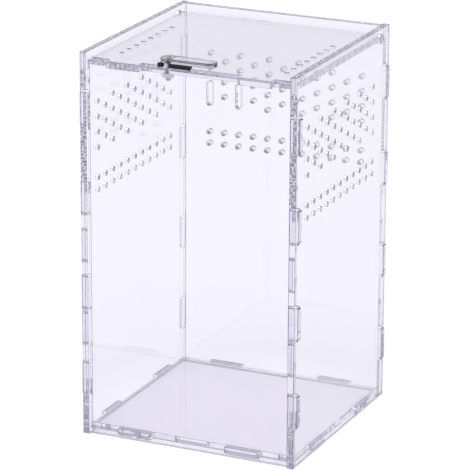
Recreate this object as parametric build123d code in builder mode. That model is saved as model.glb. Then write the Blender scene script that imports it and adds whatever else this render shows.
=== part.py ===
"""Acrylic spider enclosure.

A tall box for a small climbing spider, laser cut from 3 mm clear cast acrylic. The front and
back panels reach through the side panels with square tabs, and the floor panel reaches through
all four. The lid turns on two pegs cut in one with it, and its front tabs drop into notches in
the front panel. A small clear plate swivels on a screw near the lid's front edge.

X runs along the front, the front faces -Y, and Z is up. The origin is on the table, under the
middle of the box. Sizes are in millimetres.
"""

import os
from math import cos, radians

from build123d import *

# Sheet and outer size
sheet = 3.0  # thickness of the cast sheet
box_width = 100.0  # over the outer faces of the side panels
box_depth = 101.0  # front edge to back edge of a side panel
box_height = 172.0  # table to the top edge of a side panel
edge_margin = 1.5  # side panel that stands past the front and back panels
floor_lift = 1.5  # table to the underside of the floor panel

# Tabs and the slots that they pass through
wall_tab_length = 14.4  # upright tabs of the front and back panels
floor_tab_length = 15.0  # tabs on the four edges of the floor panel
tab_proud = 1.0  # tab that shows beyond the outer face of its wall
tab_corner = 0.5  # rounding of a tab's outer corners
end_tab_inset = 25.2  # middle of the outermost upright tab from the panel's end
middle_tab_offset = 21.4  # middle of each inner upright tab from half height
floor_tab_offset = 25.5  # middle of a floor tab from the middle of its edge
slot_end_gap = 0.8  # at each end of a tab, where the slot's corners are round
slot_side_gap = 0.05  # on each face of a tab
slot_corner = 0.8  # rounding of a slot's corners
butt_gap = 0.05  # dry joint where one panel's edge meets another panel's face

# Air holes
air_hole = 2.3  # diameter
air_column_pitch = 7.1  # between neighbouring columns on the walls
air_row_pitch = 6.85  # between the holes of one column in the staggered field
air_field_drop = 34.25  # staggered field's middle below the panel's top edge
wide_columns = 6  # columns that hold the longer run of holes
wide_rows = 4
narrow_columns = 5  # columns between them, half a row lower
narrow_rows = 3
air_band_drop = 60.6  # middle of the two straight rows below the top edge
air_band_pitch = 5.4  # between the two straight rows
air_band_columns = 11
air_band_rows = 2
side_field_shift = 2.6  # the side panels' holes sit this far forward of the middle
back_field_shift = 1.2  # the back panel's holes sit this far to the right
feed_slot_width = 2.4  # two upright slots in the back panel
feed_slot_length = 11.4

# Lid and hinge
lid_drop = 3.0  # lid's top face below the side panels' top edges
lid_side_gap = 0.3  # between the lid and each side panel
lid_front_gap = 0.3  # between the lid and the front panel
lid_back_gap = 2.2  # room behind the hinge for the lid's back edge to swing
lid_tab_length = 15.0
lid_tab_offset = 30.4  # middle of a lid tab from the middle of the lid
lid_tab_proud = 1.0  # lid tab that shows beyond the front panel
lid_notch_gap = 0.3  # at each end of a lid tab in its notch
front_below_lid = 0.6  # front panel's top edge below the lid's top face
peg_setback = 5.0  # hinge line in front of the back panel's inner face
hinge_play = 0.08  # between the peg's corners and the round hole
lid_air_offset = 38.2  # each row of lid holes from the middle
lid_air_pitch = 6.95
lid_air_count = 8
lid_air_shift = 9.7  # middle of each row forward of the middle

# Latch
plate_length = 25.7  # swivel plate, end to end
plate_width = 7.0
plate_thick = 2.0
plate_edge = 0.2  # eased rim of the plate
plate_lift = 1.2  # plate above the lid, so that it passes over the black strip
seat_gap = 0.03  # between faces that are only pressed together
pad_clearance = 0.1  # strip to the plate above it and to the front panel below it
pad_width = 1.2  # strip on top of the lid, front to back
pad_lip = 1.0  # strip in front of the lid's front edge
pad_length = 10.0  # strip from the screw towards the free end
pad_window = 2.8  # left open in front of the screw
pad_end = 2.3  # short length on the other side of the screw
screw_left = 11.7  # screw axis left of the middle
screw_from_front = 3.2  # screw axis behind the front panel's inner face
screw_end_inset = 3.8  # screw axis from the round end of the plate
screw_thread = 2.5  # M2.5 countersunk screw
screw_length = 10.0
head_diameter = 4.7
head_rim = 0.3  # straight rim above the cone
head_cone = 1.1  # depth of the cone
recess_length = 2.7  # cross recess, tip to tip
recess_width = 0.6
recess_depth = 0.9
screw_clearance = 0.1  # between the thread and what it passes through
turn_play = 0.05  # between the screw and the plate that turns on it
thread_play = 0.02  # between the screw and its nut
tip_bevel = 0.3
nut_across_flats = 5.0
nut_thick = 2.0

# Places that follow from the sizes above
inner_width = box_width - 2 * sheet
wall_face = box_width / 2  # outer face of a side panel
side_edge = box_depth / 2  # front and back edges of a side panel
front_face = side_edge - edge_margin  # outer faces of the front and back panels
inner_face = front_face - sheet
inner_depth = 2 * inner_face
panel_width = inner_width - 2 * butt_gap  # front and back panels, without their tabs
floor_depth = inner_depth - 2 * butt_gap
tab_span = inner_width + 2 * (sheet + tab_proud)  # tab end to tab end, side to side
floor_tab_span = inner_depth + 2 * (sheet + tab_proud)
lid_top = box_height - lid_drop
lid_bottom = lid_top - sheet
front_top = lid_top - front_below_lid
notch_floor = lid_bottom - seat_gap
hinge_y = inner_face - peg_setback
hinge_z = lid_top - sheet / 2
floor_middle = floor_lift + sheet / 2
half_height = box_height / 2
upright_tabs = [
    end_tab_inset,
    half_height - middle_tab_offset,
    half_height + middle_tab_offset,
    box_height - end_tab_inset,
]
slot_width = sheet + 2 * slot_side_gap
wall_slot_length = wall_tab_length + 2 * slot_end_gap
floor_slot_length = floor_tab_length + 2 * slot_end_gap
peg_hole = sheet * 2**0.5 + 2 * hinge_play
wall_mid = inner_face + sheet / 2  # middle of the front and back sheets
air_field_z = box_height - air_field_drop
air_band_z = box_height - air_band_drop

# Left side panel
with BuildPart() as left_side_panel:
    with BuildSketch(Plane.YZ.offset(-wall_face)):
        with Locations((0, half_height)):
            Rectangle(box_depth, box_height)
        with Locations(*[(y, z) for y in (-wall_mid, wall_mid) for z in upright_tabs]):
            RectangleRounded(slot_width, wall_slot_length, slot_corner, mode=Mode.SUBTRACT)
        with Locations((-floor_tab_offset, floor_middle), (floor_tab_offset, floor_middle)):
            RectangleRounded(floor_slot_length, slot_width, slot_corner, mode=Mode.SUBTRACT)
        with Locations((hinge_y, hinge_z)):
            Circle(peg_hole / 2, mode=Mode.SUBTRACT)
        with Locations((-side_field_shift, air_field_z)):
            with GridLocations(2 * air_column_pitch, air_row_pitch, wide_columns, wide_rows):
                Circle(air_hole / 2, mode=Mode.SUBTRACT)
            with GridLocations(2 * air_column_pitch, air_row_pitch, narrow_columns, narrow_rows):
                Circle(air_hole / 2, mode=Mode.SUBTRACT)
        with Locations((-side_field_shift, air_band_z)):
            with GridLocations(air_column_pitch, air_band_pitch, air_band_columns, air_band_rows):
                Circle(air_hole / 2, mode=Mode.SUBTRACT)
    extrude(amount=sheet)

# Right side panel, the same sheet turned over
with BuildPart() as right_side_panel:
    mirror(left_side_panel.part, about=Plane.YZ)

# Front panel, with notches in its top edge for the lid's tabs
with BuildPart() as front_panel:
    with BuildSketch(Plane.XZ.offset(inner_face)):
        with Locations((0, front_top / 2)):
            Rectangle(panel_width, front_top)
        with Locations(*[(0, z) for z in upright_tabs]):
            RectangleRounded(tab_span, wall_tab_length, tab_corner)
        with Locations((-floor_tab_offset, floor_middle), (floor_tab_offset, floor_middle)):
            RectangleRounded(floor_slot_length, slot_width, slot_corner, mode=Mode.SUBTRACT)
        with Locations((-lid_tab_offset, notch_floor), (lid_tab_offset, notch_floor)):
            Rectangle(
                lid_tab_length + 2 * lid_notch_gap,
                2 * sheet,
                align=(Align.CENTER, Align.MIN),
                mode=Mode.SUBTRACT,
            )
    extrude(amount=sheet)

# Back panel, with two upright slots that take the place of four air holes
feed_columns = [
    back_field_shift - (wide_columns - 1) * air_column_pitch,
    back_field_shift - (wide_columns - 3) * air_column_pitch,
]
feed_slot_z = air_field_z - (wide_rows - 1) * air_row_pitch / 2
feed_slot_z = feed_slot_z + (feed_slot_length - feed_slot_width) / 2
with BuildPart() as back_panel:
    with BuildSketch(Plane.XZ.offset(-front_face)):
        with Locations((0, half_height)):
            Rectangle(panel_width, box_height)
        with Locations(*[(0, z) for z in upright_tabs]):
            RectangleRounded(tab_span, wall_tab_length, tab_corner)
        with Locations((-floor_tab_offset, floor_middle), (floor_tab_offset, floor_middle)):
            RectangleRounded(floor_slot_length, slot_width, slot_corner, mode=Mode.SUBTRACT)
        with Locations((back_field_shift, air_field_z)):
            with GridLocations(2 * air_column_pitch, air_row_pitch, wide_columns, wide_rows):
                Circle(air_hole / 2, mode=Mode.SUBTRACT)
            with GridLocations(2 * air_column_pitch, air_row_pitch, narrow_columns, narrow_rows):
                Circle(air_hole / 2, mode=Mode.SUBTRACT)
        with Locations((back_field_shift, air_band_z)):
            with GridLocations(air_column_pitch, air_band_pitch, air_band_columns, air_band_rows):
                Circle(air_hole / 2, mode=Mode.SUBTRACT)
        with Locations(*[(x, feed_slot_z) for x in feed_columns]):
            SlotOverall(feed_slot_length, feed_slot_width, rotation=90, mode=Mode.SUBTRACT)
    extrude(amount=sheet)

# Floor panel, with two tabs through each wall
with BuildPart() as floor_panel:
    with BuildSketch(Plane.XY.offset(floor_lift)):
        Rectangle(panel_width, floor_depth)
        with Locations((0, -floor_tab_offset), (0, floor_tab_offset)):
            RectangleRounded(tab_span, floor_tab_length, tab_corner)
        with Locations((-floor_tab_offset, 0), (floor_tab_offset, 0)):
            RectangleRounded(floor_tab_length, floor_tab_span, tab_corner)
    extrude(amount=sheet)

# Lid, with its front tabs and its hinge pegs cut from the same sheet
lid_width = inner_width - 2 * lid_side_gap
lid_front = -(inner_face - lid_front_gap)
lid_back = inner_face - lid_back_gap
lid_tab_end = -(front_face + lid_tab_proud)
screw_x = -screw_left
screw_y = -(inner_face - screw_from_front)
with BuildPart() as lid_panel:
    with BuildSketch(Plane.XY.offset(lid_bottom)):
        with Locations((0, lid_front)):
            Rectangle(lid_width, lid_back - lid_front, align=(Align.CENTER, Align.MIN))
        with Locations((0, hinge_y)):
            Rectangle(box_width, sheet)
        with Locations((-lid_tab_offset, lid_tab_end), (lid_tab_offset, lid_tab_end)):
            RectangleRounded(
                lid_tab_length,
                2 * sheet,
                tab_corner,
                align=(Align.CENTER, Align.MIN),
            )
        with Locations((-lid_air_offset, -lid_air_shift), (lid_air_offset, -lid_air_shift)):
            with GridLocations(lid_air_pitch, lid_air_pitch, 1, lid_air_count):
                Circle(air_hole / 2, mode=Mode.SUBTRACT)
        with Locations((screw_x, screw_y)):
            Circle(screw_thread / 2 + screw_clearance, mode=Mode.SUBTRACT)
    extrude(amount=sheet)

# Swivel plate, countersunk for its screw
plate_bottom = lid_top + plate_lift
plate_top = plate_bottom + plate_thick
plate_x = screw_x + plate_length / 2 - screw_end_inset
play_radius = screw_thread / 2 + turn_play
with BuildPart() as latch_plate:
    with BuildSketch(Plane.XY.offset(plate_bottom)):
        with Locations((plate_x, screw_y)):
            SlotOverall(plate_length, plate_width)
    extrude(amount=plate_thick)
    chamfer(latch_plate.edges().group_by(Axis.Z)[-1], length=plate_edge)
    with BuildSketch(Plane.XZ.offset(-screw_y)):
        with BuildLine():
            Polyline(
                (screw_x, plate_bottom),
                (screw_x + play_radius, plate_bottom),
                (screw_x + play_radius, plate_top - head_rim - head_cone),
                (screw_x + head_diameter / 2 + turn_play, plate_top - head_rim),
                (screw_x + head_diameter / 2 + turn_play, plate_top),
                (screw_x, plate_top),
                close=True,
            )
        make_face()
    revolve(axis=Axis((screw_x, screw_y, 0), (0, 0, 1)), mode=Mode.SUBTRACT)

# Screw, its head flush with the plate
with BuildPart() as latch_screw:
    with BuildSketch(Plane.XZ.offset(-screw_y)):
        with BuildLine():
            Polyline(
                (screw_x, plate_top),
                (screw_x + head_diameter / 2, plate_top),
                (screw_x + head_diameter / 2, plate_top - head_rim),
                (screw_x + screw_thread / 2, plate_top - head_rim - head_cone),
                (screw_x + screw_thread / 2, plate_top - screw_length + tip_bevel),
                (screw_x + screw_thread / 2 - tip_bevel, plate_top - screw_length),
                (screw_x, plate_top - screw_length),
                close=True,
            )
        make_face()
    revolve(axis=Axis((screw_x, screw_y, 0), (0, 0, 1)))
    with BuildSketch(Plane.XY.offset(plate_top)):
        with Locations((screw_x, screw_y)):
            Rectangle(recess_length, recess_width)
            Rectangle(recess_width, recess_length)
    extrude(amount=-recess_depth, mode=Mode.SUBTRACT)

# Black strip over the lid's front edge, under the rim of the plate and in two lengths
pad_right = screw_x + pad_window / 2 + pad_length
pad_front = lid_front - pad_lip
pad_bottom = front_top + pad_clearance
pad_top = plate_bottom - pad_clearance
with BuildPart() as latch_pad:
    with BuildSketch(Plane.YZ.offset(pad_right)):
        with BuildLine():
            Polyline(
                (pad_front, pad_top),
                (pad_front, pad_bottom),
                (lid_front - seat_gap, pad_bottom),
                (lid_front - seat_gap, lid_top + seat_gap),
                (lid_front + pad_width, lid_top + seat_gap),
                (lid_front + pad_width, pad_top),
                close=True,
            )
        make_face()
    extrude(amount=-(pad_length + pad_window + pad_end))
    with Locations((screw_x, lid_front, plate_bottom)):
        Box(pad_window, 4 * sheet, 2 * sheet, mode=Mode.SUBTRACT)

# Hexagon nut under the lid
nut_circumradius = nut_across_flats / 2 / cos(radians(30))
with BuildPart() as latch_nut:
    with BuildSketch(Plane.XY.offset(lid_bottom - seat_gap)):
        with Locations((screw_x, screw_y)):
            RegularPolygon(nut_circumradius, 6)
            Circle(screw_thread / 2 + thread_play, mode=Mode.SUBTRACT)
    extrude(amount=-nut_thick)

left_side_panel.part.label = "left_side_panel"
right_side_panel.part.label = "right_side_panel"
front_panel.part.label = "front_panel"
back_panel.part.label = "back_panel"
floor_panel.part.label = "floor_panel"
lid_panel.part.label = "lid_panel"
latch_plate.part.label = "latch_plate"
latch_screw.part.label = "latch_screw"
latch_pad.part.label = "latch_pad"
latch_nut.part.label = "latch_nut"

os.makedirs("parts", exist_ok=True)
export_step(left_side_panel.part, "parts/left_side_panel.step")
export_step(right_side_panel.part, "parts/right_side_panel.step")
export_step(front_panel.part, "parts/front_panel.step")
export_step(back_panel.part, "parts/back_panel.step")
export_step(floor_panel.part, "parts/floor_panel.step")
export_step(lid_panel.part, "parts/lid_panel.step")
export_step(latch_plate.part, "parts/latch_plate.step")
export_step(latch_screw.part, "parts/latch_screw.step")
export_step(latch_pad.part, "parts/latch_pad.step")
export_step(latch_nut.part, "parts/latch_nut.step")
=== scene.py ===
"""Looks of a clear acrylic spider enclosure, laser cut from 3 mm sheet.

The six sheets and the swivel plate keep their own shapes and get clear acrylic with a thin melted
rim along every cut edge, whose grey colour is painted shade. The latch screw is modelled again
with its thread. The stage is a white table in a pale room, with painted light on the table round
the box. Lengths are in metres, X runs along the front, the front faces -Y and Z is up.
"""

import math

import bmesh
import bpy
from bpy.props import FloatProperty, FloatVectorProperty, IntProperty, PointerProperty
from mathutils import Matrix, Vector


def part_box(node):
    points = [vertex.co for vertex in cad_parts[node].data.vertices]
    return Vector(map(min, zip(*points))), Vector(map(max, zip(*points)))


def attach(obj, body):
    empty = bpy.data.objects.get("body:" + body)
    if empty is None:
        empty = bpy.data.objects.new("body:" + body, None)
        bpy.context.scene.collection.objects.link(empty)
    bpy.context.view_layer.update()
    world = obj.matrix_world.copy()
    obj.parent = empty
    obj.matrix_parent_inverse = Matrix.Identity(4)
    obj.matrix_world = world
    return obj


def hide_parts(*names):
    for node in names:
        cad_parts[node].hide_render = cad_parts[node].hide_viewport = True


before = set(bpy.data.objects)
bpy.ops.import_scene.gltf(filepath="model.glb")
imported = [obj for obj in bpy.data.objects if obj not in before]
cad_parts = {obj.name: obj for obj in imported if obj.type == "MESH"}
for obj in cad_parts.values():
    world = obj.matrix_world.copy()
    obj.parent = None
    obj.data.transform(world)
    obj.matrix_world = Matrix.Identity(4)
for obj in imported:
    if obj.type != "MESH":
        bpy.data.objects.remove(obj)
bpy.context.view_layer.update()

bl_info = {
    "name": "Acrylic spider enclosure",
    "version": (1, 0, 0),
    "blender": (4, 5, 0),
    "location": "3D View > Sidebar > Spider box",
    "description": "Clear laser cut sheets, a small latch and a pale studio",
    "category": "Object",
}

MM = 0.001
WHITE = (1.0, 1.0, 1.0, 1.0)
ACRYLIC_IOR = 1.49
WELD_DISTANCE = 0.002 * MM
LIGHT_BOUNCES = 128
# Each sheet with the axis that its broad faces look along
SHEETS = {
    "left_side_panel": 0,
    "right_side_panel": 0,
    "front_panel": 1,
    "back_panel": 1,
    "floor_panel": 2,
    "lid_panel": 2,
}


def srgb(code):
    """Linear colour of an sRGB hex value such as "F6F5FA"."""
    parts = [int(code[i : i + 2], 16) / 255 for i in (0, 2, 4)]
    return [c / 12.92 if c <= 0.04045 else ((c + 0.055) / 1.055) ** 2.4 for c in parts]


def add_node(tree, kind, inputs=None, **settings):
    """One shader node with its settings. Inputs are values, or the sockets that feed it."""
    made = tree.nodes.new(kind)
    for name, value in settings.items():
        setattr(made, name, value)
    for name, value in (inputs or {}).items():
        if isinstance(value, bpy.types.NodeSocket):
            tree.links.new(value, made.inputs[name])
        else:
            made.inputs[name].default_value = value
    return made


def colour(name, description, code):
    """Colour property whose default is an sRGB hex value."""
    return FloatVectorProperty(
        name=name,
        description=description,
        subtype="COLOR",
        size=3,
        min=0.0,
        max=1.0,
        default=srgb(code),
    )


class SheetLook(bpy.types.PropertyGroup):
    tint: colour("Sheet tint", "Colour that light takes in one 3 mm sheet", "FCFBFE")
    cut_tint: colour("Cut tint", "Colour that light takes in one laser cut face", "F3F2F8")
    hole_tint: colour("Hole tint", "Colour that light takes in the wall of a hole", "CDCCD6")
    # Painted shade: the rim's grey stands in for the light that a cut edge bends away
    rim_painted_shade: colour("Rim tint", "Colour of the melted rim along a laser cut", "5E5E69")
    shade_tint: colour("Shade tint", "What one face of a sheet lets through of a lamp", "FEFDFF")
    # Painted shade: the plate rim's near black stands in for the dark lines that light bent at
    # its edges draws
    plate_rim_painted_shade: colour("Plate rim tint", "Colour of the melted rim of the plate", "101014")
    plate_rim_width: FloatProperty(
        name="Plate rim width",
        description="Width of the melted rim of the swivel plate",
        default=0.18 * MM,
        min=0.02 * MM,
        max=0.6 * MM,
        unit="LENGTH",
    )
    rim_width: FloatProperty(
        name="Rim width",
        description="Width of the melted rim along each laser cut edge",
        default=0.11 * MM,
        min=0.02 * MM,
        max=0.6 * MM,
        unit="LENGTH",
    )
    ridge_pitch: FloatProperty(
        name="Ridge pitch",
        description="Spacing of the fine ridges that the laser leaves across a cut edge",
        default=0.7 * MM,
        min=0.1 * MM,
        max=3 * MM,
        unit="LENGTH",
    )
    ridge_height: FloatProperty(
        name="Ridge height",
        description="Height of those ridges in the material",
        default=0.05 * MM,
        min=0.0,
        max=0.5 * MM,
        unit="LENGTH",
    )
    ridge_strength: FloatProperty(
        name="Ridge strength",
        description="Share of the ridges that shows",
        default=0.06,
        min=0.0,
        max=1.0,
        subtype="FACTOR",
    )
    rim_clearness: FloatProperty(
        name="Rim clearness",
        description="Share of light that goes through the melted rim",
        default=0.45,
        min=0.0,
        max=1.0,
        subtype="FACTOR",
    )
    plate_rim_clearness: FloatProperty(
        name="Plate rim clearness",
        description="Share of light that goes through the rim of the swivel plate",
        default=0.1,
        min=0.0,
        max=1.0,
        subtype="FACTOR",
    )
    cut_frost: FloatProperty(
        name="Cut frost",
        description="Roughness of a laser cut face",
        default=0.02,
        min=0.0,
        max=1.0,
        subtype="FACTOR",
    )


class LatchLook(bpy.types.PropertyGroup):
    thread_pitch: FloatProperty(
        name="Thread pitch",
        description="Pitch of the M2.5 latch screw",
        default=0.45 * MM,
        min=0.2 * MM,
        max=1 * MM,
        unit="LENGTH",
    )
    thread_depth: FloatProperty(
        name="Thread depth",
        description="Depth of the screw thread",
        default=0.26 * MM,
        min=0.05 * MM,
        max=0.5 * MM,
        unit="LENGTH",
    )
    thread_radius: FloatProperty(
        name="Thread radius",
        description="Outer radius of the screw thread",
        default=1.25 * MM,
        min=0.5 * MM,
        max=3 * MM,
        unit="LENGTH",
    )
    head_depth: FloatProperty(
        name="Head depth",
        description="Depth of the screw's rim and cone",
        default=1.4 * MM,
        min=0.5 * MM,
        max=4 * MM,
        unit="LENGTH",
    )
    tip_length: FloatProperty(
        name="Tip length",
        description="Length of the blunt cone at the end of the screw",
        default=0.4 * MM,
        min=0.1 * MM,
        max=1 * MM,
        unit="LENGTH",
    )
    tip_inset: FloatProperty(
        name="Tip inset",
        description="What that cone loses in radius at its end",
        default=0.2 * MM,
        min=0.0,
        max=0.8 * MM,
        unit="LENGTH",
    )
    thread_start: FloatProperty(
        name="Thread start",
        description="Lower end of the thread above the end of the screw",
        default=0.3 * MM,
        min=0.0,
        max=2 * MM,
        unit="LENGTH",
    )
    root_sink: FloatProperty(
        name="Root sink",
        description="How far the thread's root lies inside the core",
        default=0.02 * MM,
        min=0.0,
        max=0.1 * MM,
        unit="LENGTH",
    )
    turn_steps: IntProperty(
        name="Steps in a turn",
        description="Facets in one turn of the screw thread",
        default=28,
        min=8,
        max=64,
    )
    nut_easing: FloatProperty(
        name="Nut easing",
        description="Radius of the nut's edges",
        default=0.12 * MM,
        min=0.0,
        max=0.4 * MM,
        unit="LENGTH",
    )
    strip_easing: FloatProperty(
        name="Strip easing",
        description="Radius of the rubber strip's edges",
        default=0.08 * MM,
        min=0.0,
        max=0.3 * MM,
        unit="LENGTH",
    )
    steel: colour("Steel", "Colour of the zinc plated screw and nut", "D6D6DC")
    rubber: colour("Rubber", "Colour of the strip under the swivel plate", "0B0B0E")


class StageLook(bpy.types.PropertyGroup):
    table: colour("Table", "Colour of the table", "FAFAFC")
    room: colour("Room", "Colour of the studio above eye level", "C6C5D2")
    lens: FloatProperty(
        name="Lens",
        description="Focal length on a 36 mm sensor",
        default=0.2429,
        min=0.02,
        max=0.6,
        unit="CAMERA",
    )
    azimuth: FloatProperty(
        name="Azimuth",
        description="Camera's turn about the box, from the front towards the right side",
        default=math.radians(24.549),
        subtype="ANGLE",
    )
    elevation: FloatProperty(
        name="Elevation",
        description="Camera's height above the horizon",
        default=math.radians(17.938),
        subtype="ANGLE",
    )
    roll: FloatProperty(
        name="Roll",
        description="Camera's lean",
        default=math.radians(0.293),
        subtype="ANGLE",
    )
    distance: FloatProperty(
        name="Distance",
        description="Camera to the middle of the box",
        default=1.3847,
        min=0.3,
        max=5.0,
        unit="LENGTH",
    )
    aim_right: FloatProperty(
        name="Aim right",
        description="Aim point right of the middle of the box, across the view",
        default=-0.59 * MM,
        unit="LENGTH",
    )
    aim_up: FloatProperty(
        name="Aim up",
        description="Aim point above the middle of the box, across the view",
        default=-2.76 * MM,
        unit="LENGTH",
    )
    aim_height: FloatProperty(
        name="Middle height",
        description="Height of the middle of the box above the table",
        default=86 * MM,
        unit="LENGTH",
    )
    key_power: FloatProperty(
        name="Key power",
        description="Power of the large soft lamp above the box",
        default=3.4,
        min=0.0,
        max=50.0,
        unit="POWER",
    )
    key_width: FloatProperty(
        name="Key width",
        description="Longer side of the lamp",
        default=1.0,
        min=0.1,
        max=5.0,
        unit="LENGTH",
    )
    key_height: FloatProperty(
        name="Key height",
        description="Shorter side of the lamp",
        default=0.8,
        min=0.1,
        max=5.0,
        unit="LENGTH",
    )
    key_spot: FloatVectorProperty(
        name="Key spot",
        description="Place of the lamp, left of the box, in front of it and above it",
        size=3,
        default=(-0.55, -0.35, 1.25),
        unit="LENGTH",
    )
    table_radius: FloatProperty(
        name="Table radius",
        description="Radius of the round table",
        default=8.0,
        min=0.5,
        max=50.0,
        unit="LENGTH",
    )
    table_gap: FloatProperty(
        name="Table gap",
        description="Table below the box, so that their faces don't meet",
        default=0.05 * MM,
        min=0.0,
        max=1 * MM,
        unit="LENGTH",
    )


class SpiderBoxLook(bpy.types.PropertyGroup):
    sheets: PointerProperty(type=SheetLook, name="Sheets", description="Clear sheets")
    latch: PointerProperty(type=LatchLook, name="Latch", description="Screw and strip")
    stage: PointerProperty(type=StageLook, name="Stage", description="Table, light and camera")


def new_material(name):
    """Empty node material, with its tree and its output."""
    made = bpy.data.materials.new(name)
    made.use_nodes = True
    made.node_tree.nodes.clear()
    return made, made.node_tree, add_node(made.node_tree, "ShaderNodeOutputMaterial")


def cast_acrylic(look, across):
    """Cast acrylic (PMMA), laser cut. The broad faces keep the casting's mirror finish. The cut
    faces have fine ridges across the sheet and take a little light. Lamps shine through it."""
    made, tree, out = new_material("cast_acrylic_laser_cut_" + "xyz"[across])
    place = add_node(tree, "ShaderNodeTexCoord")
    facing = add_node(tree, "ShaderNodeSeparateXYZ", {0: place.outputs["Normal"]})
    squareness = add_node(
        tree, "ShaderNodeMath", {0: facing.outputs[across]}, operation="ABSOLUTE"
    )
    # 1 on a cut face and 0 on a broad face
    cut = add_node(
        tree,
        "ShaderNodeMapRange",
        {
            "Value": squareness.outputs[0],
            "From Min": 0.6,
            "From Max": 0.9,
            "To Min": 1.0,
            "To Max": 0.0,
        },
    )

    # A ridge runs straight through the sheet, so the pattern ignores that direction. The
    # ridges are drawn coarser than a laser leaves them, so that they show.
    stretch = [1.0, 1.0, 1.0]
    stretch[across] = 0.0
    flat = add_node(
        tree, "ShaderNodeMapping", {"Vector": place.outputs["Object"], "Scale": stretch}
    )
    ridges = add_node(
        tree,
        "ShaderNodeTexNoise",
        {"Vector": flat.outputs[0], "Scale": 1 / look.ridge_pitch, "Detail": 2.0},
    )
    cut_ridges = add_node(
        tree,
        "ShaderNodeMath",
        {0: ridges.outputs[0], 1: cut.outputs[0]},
        operation="MULTIPLY",
    )
    bump = add_node(
        tree,
        "ShaderNodeBump",
        {
            "Strength": look.ridge_strength,
            "Distance": look.ridge_height,
            "Height": cut_ridges.outputs[0],
        },
    )
    frost = add_node(
        tree, "ShaderNodeMath", {0: cut.outputs[0], 1: look.cut_frost}, operation="MULTIPLY"
    )

    # A wall round a small hole or a rounded corner gets a greyer tint. Such a wall looks along
    # none of the axes.
    sideways = [facing.outputs[axis] for axis in range(3) if axis != across]
    lean = add_node(
        tree, "ShaderNodeMath", {0: sideways[0], 1: sideways[1]}, operation="MULTIPLY"
    )
    slant = add_node(tree, "ShaderNodeMath", {0: lean.outputs[0]}, operation="ABSOLUTE")
    round_wall = add_node(
        tree,
        "ShaderNodeMapRange",
        {
            "Value": slant.outputs[0],
            "From Min": 0.01,
            "From Max": 0.03,
            "To Min": 0.0,
            "To Max": 1.0,
        },
    )
    wall = add_node(
        tree,
        "ShaderNodeMix",
        {0: round_wall.outputs[0], 6: (*look.cut_tint, 1.0), 7: (*look.hole_tint, 1.0)},
        data_type="RGBA",
    )
    tone = add_node(
        tree,
        "ShaderNodeMix",
        {0: cut.outputs[0], 6: (*look.tint, 1.0), 7: wall.outputs[2]},
        data_type="RGBA",
    )

    sheet = add_node(
        tree,
        "ShaderNodeBsdfPrincipled",
        {
            "Base Color": tone.outputs[2],
            "Transmission Weight": 1.0,
            "IOR": ACRYLIC_IOR,
            "Roughness": frost.outputs[0],
            "Normal": bump.outputs[0],
        },
    )
    lamps_pass = add_node(tree, "ShaderNodeBsdfTransparent", {0: (*look.shade_tint, 1.0)})
    path = add_node(tree, "ShaderNodeLightPath")
    both = add_node(
        tree,
        "ShaderNodeMixShader",
        {0: path.outputs["Is Shadow Ray"], 1: sheet.outputs[0], 2: lamps_pass.outputs[0]},
    )
    tree.links.new(both.outputs[0], out.inputs[0])
    return made


def melted_rim_and_painted_shade(name, tint, clearness):
    """The arris of a laser cut, where the sheet melts and sets again. It bends light away, and
    its grey colour is painted shade for that, so every edge of the box draws a thin grey line."""
    made, tree, out = new_material(name)
    place = add_node(tree, "ShaderNodeTexCoord")
    beads_per_mm = 0.9
    beads = add_node(
        tree,
        "ShaderNodeTexNoise",
        {"Vector": place.outputs["Object"], "Scale": beads_per_mm / MM},
    )
    frost = add_node(
        tree,
        "ShaderNodeMapRange",
        {
            "Value": beads.outputs[0],
            "From Min": 0.3,
            "From Max": 0.7,
            "To Min": 0.15,
            "To Max": 0.35,
        },
    )
    rim = add_node(
        tree,
        "ShaderNodeBsdfPrincipled",
        {
            "Base Color": (*tint, 1.0),
            "Transmission Weight": clearness,
            "IOR": ACRYLIC_IOR,
            "Roughness": frost.outputs[0],
        },
    )
    tree.links.new(rim.outputs[0], out.inputs[0])
    return made


def zinc_steel(look):
    """Zinc plated steel: a light grey metal with a faint mottle from the plating bath. The
    mottle is drawn coarser than the real one, so that it shows."""
    made, tree, out = new_material("zinc_plated_steel")
    place = add_node(tree, "ShaderNodeTexCoord")
    spots_per_mm = 1.5
    mottle = add_node(
        tree,
        "ShaderNodeTexNoise",
        {"Vector": place.outputs["Object"], "Scale": spots_per_mm / MM, "Detail": 3.0},
    )
    satin = add_node(
        tree,
        "ShaderNodeMapRange",
        {
            "Value": mottle.outputs[0],
            "From Min": 0.3,
            "From Max": 0.7,
            "To Min": 0.34,
            "To Max": 0.48,
        },
    )
    metal = add_node(
        tree,
        "ShaderNodeBsdfPrincipled",
        {"Base Color": (*look.steel, 1.0), "Metallic": 1.0, "Roughness": satin.outputs[0]},
    )
    tree.links.new(metal.outputs[0], out.inputs[0])
    return made


def black_rubber(look):
    """Solid black rubber strip: nearly matt, with a fine grain from its backing cloth."""
    made, tree, out = new_material("black_rubber_strip")
    place = add_node(tree, "ShaderNodeTexCoord")
    grains_per_mm = 4.0
    grain = add_node(
        tree,
        "ShaderNodeTexNoise",
        {"Vector": place.outputs["Object"], "Scale": grains_per_mm / MM, "Detail": 2.0},
    )
    bump = add_node(
        tree,
        "ShaderNodeBump",
        {"Strength": 0.3, "Distance": 0.03 * MM, "Height": grain.outputs[0]},
    )
    rubber = add_node(
        tree,
        "ShaderNodeBsdfPrincipled",
        {"Base Color": (*look.rubber, 1.0), "Roughness": 0.55, "Normal": bump.outputs[0]},
    )
    tree.links.new(rubber.outputs[0], out.inputs[0])
    return made


def dress(node, *materials):
    """Gives a node of the frame its materials and flat faces."""
    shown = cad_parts[node]
    shown.data.materials.clear()
    for one in materials:
        shown.data.materials.append(one)
    shown.data.polygons.foreach_set("material_index", [0] * len(shown.data.polygons))
    shown.data.shade_flat()
    return shown


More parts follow.
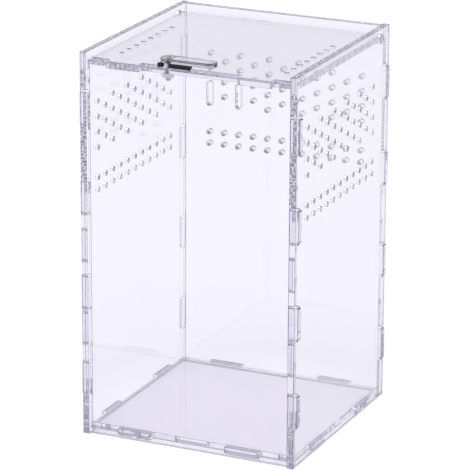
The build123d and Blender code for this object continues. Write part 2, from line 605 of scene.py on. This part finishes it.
def ease_edges(shown, width, material):
    """Joins the node's triangles into flat faces and rounds its sharp edges."""
    weld = shown.modifiers.new("Joined faces", "WELD")
    weld.merge_threshold = WELD_DISTANCE
    flats = shown.modifiers.new("Flat faces", "DECIMATE")
    flats.decimate_type = "DISSOLVE"
    flats.angle_limit = math.radians(1)
    rim = shown.modifiers.new("Eased edges", "BEVEL")
    rim.width = width
    rim.segments = 2
    rim.profile = 0.5
    rim.limit_method = "ANGLE"
    rim.use_clamp_overlap = False
    rim.angle_limit = math.radians(40)
    rim.material = material


class SPIDERBOX_OT_sheets(bpy.types.Operator):
    """Finish the six laser cut sheets and the swivel plate"""

    bl_idname = "spiderbox.sheets"
    bl_label = "Clear sheets"

    def execute(self, context):
        look = context.scene.spider_box.sheets
        clear = [cast_acrylic(look, across) for across in range(3)]
        # The rim material's grey is painted shade for the light that a cut edge bends away, on a
        # real melted arris
        rim = melted_rim_and_painted_shade("melted_acrylic_rim_and_painted_shade", look.rim_painted_shade, look.rim_clearness)
        for node, across in SHEETS.items():
            ease_edges(dress(node, clear[across], rim), look.rim_width, 1)
        # The small plate's rims lie close together; their near black colour is painted shade for
        # the darker lines that its edges draw
        dark_rim = melted_rim_and_painted_shade(
            "melted_acrylic_plate_rim_and_painted_shade", look.plate_rim_painted_shade, look.plate_rim_clearness
        )
        ease_edges(dress("latch_plate", clear[2], dark_rim), look.plate_rim_width, 1)
        return {"FINISHED"}


class SPIDERBOX_OT_screw(bpy.types.Operator):
    """Model the latch screw with its thread"""

    bl_idname = "spiderbox.screw"
    bl_label = "Latch screw"

    def execute(self, context):
        look = context.scene.spider_box.latch
        low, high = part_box("latch_screw")
        axis = (low + high) / 2
        core_radius = look.thread_radius - look.thread_depth
        neck = high.z - look.head_depth

        # The head with its cross recess, cut off below the cone
        shape = bmesh.new()
        shape.from_mesh(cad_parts["latch_screw"].data)
        bmesh.ops.remove_doubles(shape, verts=shape.verts, dist=WELD_DISTANCE)
        bmesh.ops.bisect_plane(
            shape,
            geom=shape.verts[:] + shape.edges[:] + shape.faces[:],
            plane_co=(0, 0, neck),
            plane_no=(0, 0, -1),
            clear_outer=True,
        )
        rim = [e for e in shape.edges if e.is_boundary]
        bmesh.ops.holes_fill(shape, edges=rim, sides=0)

        # The core of the shaft
        core = bmesh.ops.create_cone(
            shape,
            cap_ends=True,
            segments=look.turn_steps,
            radius1=core_radius - look.tip_inset,
            radius2=core_radius,
            depth=look.tip_length,
            matrix=Matrix.Translation((axis.x, axis.y, low.z + look.tip_length / 2)),
        )
        core_faces = {face for vert in core["verts"] for face in vert.link_faces}
        end = max(core_faces, key=lambda face: face.calc_center_median().z)
        grown = bmesh.ops.extrude_discrete_faces(shape, faces=[end])
        top = grown["faces"][0]
        rise = neck - low.z - look.tip_length
        bmesh.ops.translate(shape, vec=(0, 0, rise), verts=top.verts[:])

        # The thread, a ridge spun up the core
        pitch = look.thread_pitch
        turns = int((neck - low.z) / pitch) - 1
        start = low.z + look.thread_start
        root = axis.x + core_radius - look.root_sink
        crest = axis.x + look.thread_radius
        ridge_width = 0.9 * pitch
        ridge = [
            shape.verts.new((root, axis.y, start)),
            shape.verts.new((crest, axis.y, start + ridge_width / 2)),
            shape.verts.new((root, axis.y, start + ridge_width)),
        ]
        outline = [shape.edges.new((ridge[i], ridge[(i + 1) % 3])) for i in range(3)]
        steps = turns * look.turn_steps
        bmesh.ops.spin(
            shape,
            geom=ridge + outline,
            cent=axis,
            axis=(0, 0, 1),
            dvec=(0, 0, pitch / look.turn_steps),
            angle=2 * math.pi * turns,
            steps=steps,
            use_merge=False,
        )
        ends = [e for e in shape.edges if e.is_boundary]
        bmesh.ops.holes_fill(shape, edges=ends, sides=4)
        bmesh.ops.recalc_face_normals(shape, faces=shape.faces)

        mesh = bpy.data.meshes.new("latch_screw_threaded")
        shape.to_mesh(mesh)
        shape.free()
        mesh.materials.append(zinc_steel(look))
        screw = bpy.data.objects.new("latch_screw_threaded", mesh)
        context.collection.objects.link(screw)
        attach(screw, "lid")
        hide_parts("latch_screw")
        return {"FINISHED"}


class SPIDERBOX_OT_latch(bpy.types.Operator):
    """Finish the nut and the rubber strip of the latch"""

    bl_idname = "spiderbox.latch"
    bl_label = "Nut and strip"

    def execute(self, context):
        look = context.scene.spider_box.latch
        steel = bpy.data.materials.get("zinc_plated_steel") or zinc_steel(look)
        ease_edges(dress("latch_nut", steel), look.nut_easing, 0)
        ease_edges(dress("latch_pad", black_rubber(look)), look.strip_easing, 0)
        return {"FINISHED"}


def white_table(look):
    """Matt white card. Seen straight or through the sheets, it adds a little white of its own:
    more under the box, as painted light that cancels the shade cast by its sheets, which take
    some light, and more far out, to hide the horizon."""
    made, tree, out = new_material("white_table")
    card = add_node(
        tree,
        "ShaderNodeBsdfPrincipled",
        {"Base Color": (*look.table, 1.0), "Roughness": 0.9, "Specular IOR Level": 0.0},
    )
    place = add_node(tree, "ShaderNodeTexCoord")
    reach = add_node(
        tree, "ShaderNodeVectorMath", {0: place.outputs["Object"]}, operation="LENGTH"
    )
    # Painted light: a brighter pool on the table below and round the box, fading out from 50 to
    # 85 mm, which cancels the box's shade
    under = add_node(
        tree,
        "ShaderNodeMapRange",
        {
            "Value": reach.outputs["Value"],
            "From Min": 50 * MM,
            "From Max": 85 * MM,
            "To Min": 0.3,
            "To Max": 0.12,
        },
    )
    far = add_node(
        tree,
        "ShaderNodeMapRange",
        {
            "Value": reach.outputs["Value"],
            "From Min": 0.7,
            "From Max": 2.5,
            "To Min": 0.0,
            "To Max": 0.3,
        },
    )
    spread = add_node(
        tree, "ShaderNodeMath", {0: under.outputs[0], 1: far.outputs[0]}, operation="ADD"
    )
    path = add_node(tree, "ShaderNodeLightPath")
    camera_white = 0.1
    straight = add_node(
        tree,
        "ShaderNodeMath",
        {0: path.outputs["Is Camera Ray"], 1: camera_white, 2: spread.outputs[0]},
        operation="MULTIPLY_ADD",
    )
    glow = add_node(tree, "ShaderNodeEmission", {0: WHITE, 1: straight.outputs[0]})
    added = add_node(tree, "ShaderNodeAddShader", {0: card.outputs[0], 1: glow.outputs[0]})
    seen = add_node(
        tree,
        "ShaderNodeMath",
        {0: path.outputs["Is Camera Ray"], 1: path.outputs["Is Transmission Ray"]},
        operation="MAXIMUM",
    )
    shown = add_node(
        tree,
        "ShaderNodeMixShader",
        {0: seen.outputs[0], 1: card.outputs[0], 2: added.outputs[0]},
    )
    tree.links.new(shown.outputs[0], out.inputs[0])
    return made


def studio_room(look):
    """White at eye level, darker above it, with a bright ceiling. The camera sees plain white."""
    world = bpy.data.worlds.new("studio")
    world.use_nodes = True
    tree = world.node_tree
    tree.nodes.clear()
    place = add_node(tree, "ShaderNodeTexCoord")
    facing = add_node(tree, "ShaderNodeSeparateXYZ", {0: place.outputs["Generated"]})
    ramp = add_node(tree, "ShaderNodeValToRGB", {0: facing.outputs[2]})
    wall = (*look.room, 1.0)
    eye_level, wall_foot, wall_top, ceiling = 0.08, 0.3, 0.62, 0.85
    tones = ramp.color_ramp.elements
    tones[0].position, tones[0].color = eye_level, WHITE
    tones[1].position, tones[1].color = wall_foot, wall
    tones.new(wall_top).color = wall
    tones.new(ceiling).color = WHITE
    room = add_node(tree, "ShaderNodeBackground", {0: ramp.outputs[0], 1: 1.0})
    plain = add_node(tree, "ShaderNodeBackground", {0: WHITE, 1: 1.0})
    path = add_node(tree, "ShaderNodeLightPath")
    both = add_node(
        tree,
        "ShaderNodeMixShader",
        {0: path.outputs["Is Camera Ray"], 1: room.outputs[0], 2: plain.outputs[0]},
    )
    out = add_node(tree, "ShaderNodeOutputWorld")
    tree.links.new(both.outputs[0], out.inputs[0])
    return world


def photo_camera(look, middle):
    """Camera at the height and turn from which the box was photographed."""
    turn, rise = look.azimuth, look.elevation
    back = Vector(
        (
            math.sin(turn) * math.cos(rise),
            -math.cos(turn) * math.cos(rise),
            math.sin(rise),
        )
    )
    right = Vector((math.cos(turn), math.sin(turn), 0))
    up = back.cross(right)
    lean = Matrix.Rotation(look.roll, 3, back)
    right, up = lean @ right, lean @ up
    spot = middle + back * look.distance + right * look.aim_right + up * look.aim_up
    view = bpy.data.cameras.new("camera")
    view.sensor_width = 36
    view.lens = look.lens * 1000
    view.clip_end = 100
    camera = bpy.data.objects.new("camera", view)
    turned = Matrix((right, up, back)).transposed().to_4x4()
    camera.matrix_world = Matrix.Translation(spot) @ turned
    return camera


class SPIDERBOX_OT_stage(bpy.types.Operator):
    """Lay the table, light the box and set the camera"""

    bl_idname = "spiderbox.stage"
    bl_label = "Table, light and camera"

    def execute(self, context):
        look = context.scene.spider_box.stage
        scene = context.scene
        middle = Vector((0, 0, look.aim_height))

        shape = bmesh.new()
        bmesh.ops.create_circle(
            shape, cap_ends=True, segments=96, radius=look.table_radius
        )
        bmesh.ops.translate(shape, vec=(0, 0, -look.table_gap), verts=shape.verts)
        mesh = bpy.data.meshes.new("table")
        shape.to_mesh(mesh)
        shape.free()
        table = bpy.data.objects.new("table", mesh)
        context.collection.objects.link(table)
        mesh.materials.append(white_table(look))

        scene.world = studio_room(look)
        key = bpy.data.lights.new("key_softbox", "AREA")
        key.energy = look.key_power
        key.shape = "RECTANGLE"
        key.size = look.key_width
        key.size_y = look.key_height
        lamp = bpy.data.objects.new("key_softbox", key)
        lamp.location = look.key_spot
        lamp.rotation_euler = (middle - lamp.location).to_track_quat("-Z", "Y").to_euler()
        context.collection.objects.link(lamp)

        camera = photo_camera(look, middle)
        context.collection.objects.link(camera)
        scene.camera = camera
        scene.view_settings.view_transform = "Standard"

        # Light crosses many faces of clear sheet before it leaves the box
        scene.cycles.max_bounces = LIGHT_BOUNCES
        scene.cycles.glossy_bounces = LIGHT_BOUNCES
        scene.cycles.transmission_bounces = LIGHT_BOUNCES
        scene.cycles.transparent_max_bounces = 40
        return {"FINISHED"}


class SPIDERBOX_PT_looks(bpy.types.Panel):
    """Sizes, colours and steps of the enclosure's looks"""

    bl_label = "Spider box"
    bl_idname = "SPIDERBOX_PT_looks"
    bl_space_type = "VIEW_3D"
    bl_region_type = "UI"
    bl_category = "Spider box"

    def draw(self, context):
        looks = context.scene.spider_box
        for group, step in (
            (looks.sheets, "spiderbox.sheets"),
            (looks.latch, "spiderbox.screw"),
            (looks.latch, "spiderbox.latch"),
            (looks.stage, "spiderbox.stage"),
        ):
            box = self.layout.box()
            for name in group.__annotations__:
                box.prop(group, name)
            box.operator(step)


CLASSES = (
    SheetLook,
    LatchLook,
    StageLook,
    SpiderBoxLook,
    SPIDERBOX_OT_sheets,
    SPIDERBOX_OT_screw,
    SPIDERBOX_OT_latch,
    SPIDERBOX_OT_stage,
    SPIDERBOX_PT_looks,
)


def register():
    for one in CLASSES:
        bpy.utils.register_class(one)
    bpy.types.Scene.spider_box = PointerProperty(type=SpiderBoxLook)


def unregister():
    del bpy.types.Scene.spider_box
    for one in reversed(CLASSES):
        bpy.utils.unregister_class(one)


def main():
    register()
    bpy.ops.spiderbox.sheets()
    bpy.ops.spiderbox.screw()
    bpy.ops.spiderbox.latch()
    bpy.ops.spiderbox.stage()


if __name__ == "__main__":
    main()
